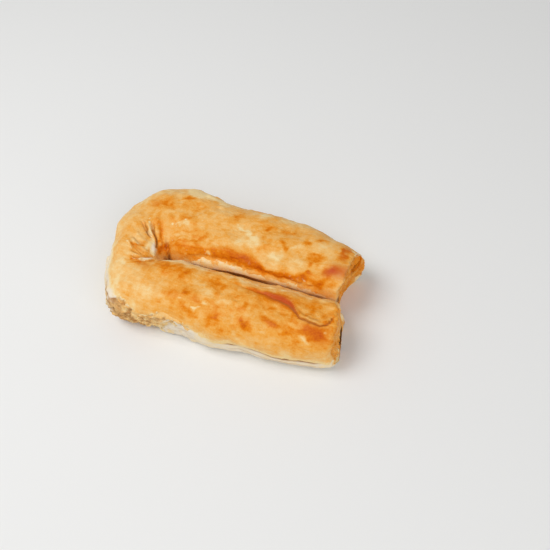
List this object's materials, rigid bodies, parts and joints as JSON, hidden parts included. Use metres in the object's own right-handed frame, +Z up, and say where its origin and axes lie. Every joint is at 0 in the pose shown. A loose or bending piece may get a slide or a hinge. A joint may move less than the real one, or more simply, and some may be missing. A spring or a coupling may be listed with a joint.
{
  "type": "apple borek",
  "caption": "Baked filo roll folded into a tight U with its legs pressed together, pleated at the bend, with apple filling showing at both open ends.",
  "frame": {"origin": "middle of the footprint on the surface that the borek lies on", "axes": "+X along the two legs towards their open ends, +Y towards the rear leg, +Z up"},
  "size_m": [0.166, 0.103, 0.035],
  "materials": {
    "baked_filo": "baked golden, satin sheen, flaky",
    "apple_filling": "moist, soft chunks"
  },
  "bodies": {
    "root": {"pastry": "baked_filo", "filling": "apple_filling"}
  },
  "joints": []
}
